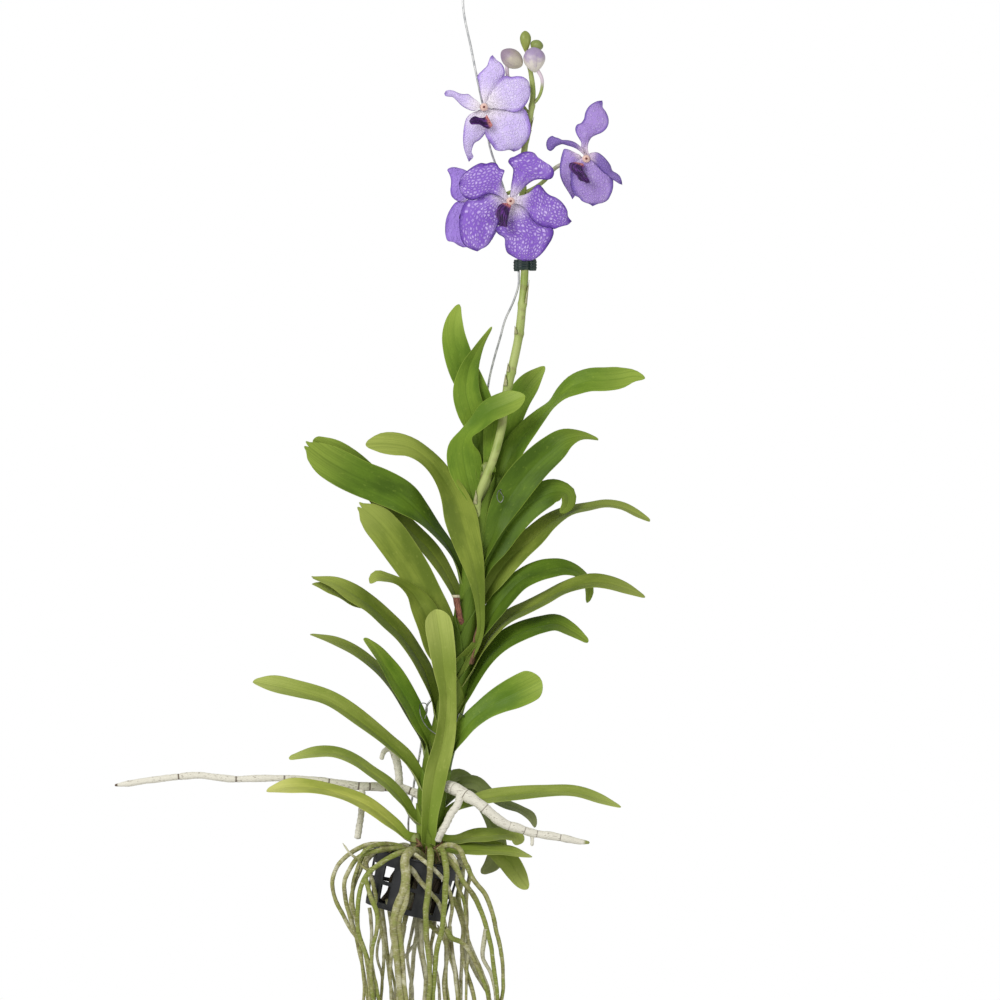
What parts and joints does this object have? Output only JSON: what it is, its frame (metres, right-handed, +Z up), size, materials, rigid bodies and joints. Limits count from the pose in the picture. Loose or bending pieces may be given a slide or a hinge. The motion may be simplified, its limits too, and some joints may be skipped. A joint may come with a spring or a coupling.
{
  "type": "vanda orchid",
  "caption": "Flowering vanda orchid with strap leaves in two ranks, bare roots round a small net basket, and a stiff wire hanger.",
  "frame": {"origin": "the bearing point on the inside of the wire's hook, where it rests on its rail", "axes": "+Z up along the plant, -Y towards the viewer of the flowers, +X to that viewer's right"},
  "size_m": [0.5359, 0.1172, 1.2572],
  "materials": {
    "leaf": "waxy living leaf, olive to bright green",
    "stem": "living stem with clasping leaf sheaths",
    "spike": "living green flower stalk",
    "petal": "living petal, violet with a white net pattern",
    "lip": "living petal, very dark purple",
    "bud": "closed bud, pale grey violet and green",
    "aerial_root": "dry white root skin with brown crack rings",
    "hanging_root": "root skin, olive green to beige",
    "old_stalk": "dried red-brown stub with a cream ring",
    "wire": "galvanised wire, 2.2 mm",
    "clip": "dark green-black moulded plastic",
    "basket": "black moulded plastic"
  },
  "bodies": {
    "root": {"bud_1": "bud", "bud_2": "bud", "bud_3": "bud", "bud_4": "bud", "flower_back_lip": "lip", "flower_back_sepals": "petal", "flower_front_lip": "lip", "flower_front_petal_left": "petal", "flower_front_petal_right": "petal", "flower_front_sepals": "petal", "flower_right_lip": "lip", "flower_right_petal_left": "petal", "flower_right_petal_right": "petal", "flower_right_sepals": "petal", "flower_spike": "spike", "flower_top_lip": "lip", "flower_top_petal_left": "petal", "flower_top_petal_right": "petal", "flower_top_sepals": "petal", "hanger_wire": "wire", "hanging_roots": "hanging_root", "leaf_front": "leaf", "leaf_left_01": "leaf", "leaf_left_02": "leaf", "leaf_left_03": "leaf", "leaf_left_04": "leaf", "leaf_left_05": "leaf", "leaf_left_06": "leaf", "leaf_left_07": "leaf", "leaf_left_08": "leaf", "leaf_left_09": "leaf", "leaf_left_10": "leaf", "leaf_left_11": "leaf", "leaf_right_01": "leaf", "leaf_right_02": "leaf", "leaf_right_03": "leaf", "leaf_right_04": "leaf", "leaf_right_05": "leaf", "leaf_right_06": "leaf", "leaf_right_07": "leaf", "leaf_right_08": "leaf", "leaf_right_09": "leaf", "leaf_right_10": "leaf", "leaf_right_11": "leaf", "leaf_right_12": "leaf", "leaf_right_13": "leaf", "leaf_right_14": "leaf", "leaf_right_15": "leaf", "leaf_top_01": "leaf", "leaf_top_02": "leaf", "leaf_top_03": "leaf", "leaf_top_04": "leaf", "net_basket": "basket", "old_stalk": "old_stalk", "root_left": "aerial_root", "root_right": "aerial_root", "spike_clip": "clip", "stem": "stem"}
  },
  "joints": []
}
